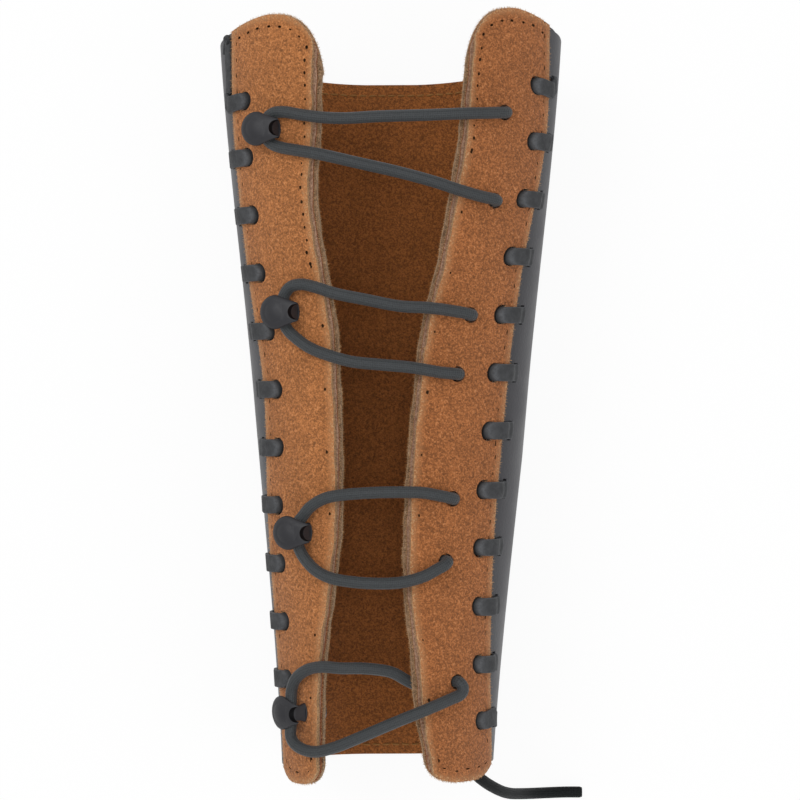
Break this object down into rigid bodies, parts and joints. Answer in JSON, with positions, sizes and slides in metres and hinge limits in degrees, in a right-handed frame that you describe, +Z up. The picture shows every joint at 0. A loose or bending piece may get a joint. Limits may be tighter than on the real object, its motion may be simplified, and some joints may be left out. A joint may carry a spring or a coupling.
{
  "type": "archery arm guard",
  "caption": "Tapered leather forearm guard for archery: a stiff back with two laced suede wings, closed by an elastic cord looped over hooks.",
  "frame": {"origin": "middle of the guard's length and width, on the plane that its back rests on", "axes": "+X across the guard, from the wing with the hooks to the wing with the cord holes; +Y along it, from the wrist end to the elbow end; +Z up, out of the opening between the wings"},
  "size_m": [0.1155, 0.2489, 0.0684],
  "materials": {
    "smooth_leather": "smooth black leather, low sheen",
    "lining_suede": "brown suede",
    "wing_suede": "light brown suede, short nap",
    "stiffener": "raw fibre board of leather",
    "ply_suede": "tan suede",
    "thong_leather": "matt black thong",
    "hook_metal": "black satin enamel",
    "washer_metal": "plain",
    "elastic_cord": "braided black elastic"
  },
  "bodies": {
    "back": {"back_leather": "smooth_leather", "back_lining": "lining_suede", "left_lace": "thong_leather", "right_lace": "thong_leather", "elastic_tail": "elastic_cord"},
    "left_wing": {"left_wing_suede": "wing_suede", "left_wing_core": "stiffener", "left_wing_lining": "ply_suede", "hook_1": "hook_metal", "hook_2": "hook_metal", "hook_3": "hook_metal", "hook_4": "hook_metal", "hook_washers": "washer_metal"},
    "right_wing": {"right_wing_suede": "wing_suede", "right_wing_core": "stiffener", "right_wing_lining": "ply_suede", "elastic_bridge_1": "elastic_cord", "elastic_bridge_2": "elastic_cord", "elastic_bridge_3": "elastic_cord", "elastic_end_run": "elastic_cord", "elastic_knot": "elastic_cord"},
    "loop_1": {"elastic_loop_1": "elastic_cord"},
    "loop_2": {"elastic_loop_2": "elastic_cord"},
    "loop_3": {"elastic_loop_3": "elastic_cord"},
    "loop_4": {"elastic_loop_4": "elastic_cord"}
  },
  "joints": [
    {"name": "left_wing_open", "type": "hinge", "parent": "back", "child": "left_wing", "pos_m": [-0.04104, 0, 0.04245], "axis": [0.0721, -0.9972, -0.0181], "range_deg": [0, 30], "deforming": ["left_lace"]},
    {"name": "right_wing_open", "type": "hinge", "parent": "back", "child": "right_wing", "pos_m": [0.04094, 0, 0.04271], "axis": [0.0728, 0.9972, 0.0159], "range_deg": [0, 30], "deforming": ["right_lace"]},
    {"name": "loop_1_lift", "type": "hinge", "parent": "right_wing", "child": "loop_1", "pos_m": [0.03452, 0.08698, 0.05641], "axis": [0.1102, 0.9938, -0.0177], "range_deg": [0, 60], "deforming": ["elastic_loop_1"]},
    {"name": "loop_2_lift", "type": "hinge", "parent": "right_wing", "child": "loop_2", "pos_m": [0.02411, 0.02498, 0.05914], "axis": [0.2142, 0.975, -0.0593], "range_deg": [0, 60], "deforming": ["elastic_loop_2"]},
    {"name": "loop_3_lift", "type": "hinge", "parent": "right_wing", "child": "loop_3", "pos_m": [0.01863, -0.03102, 0.05994], "axis": [0.1039, 0.9944, -0.0175], "range_deg": [0, 60], "deforming": ["elastic_loop_3"]},
    {"name": "loop_4_lift", "type": "hinge", "parent": "right_wing", "child": "loop_4", "pos_m": [0.00649, -0.08001, 0.06263], "axis": [-0.1639, 0.9855, 0.0435], "range_deg": [0, 60], "deforming": ["elastic_loop_4"]}
  ],
  "couplings": [
    {"joint": "right_wing_open", "follows": "left_wing_open", "ratio": 1}
  ]
}
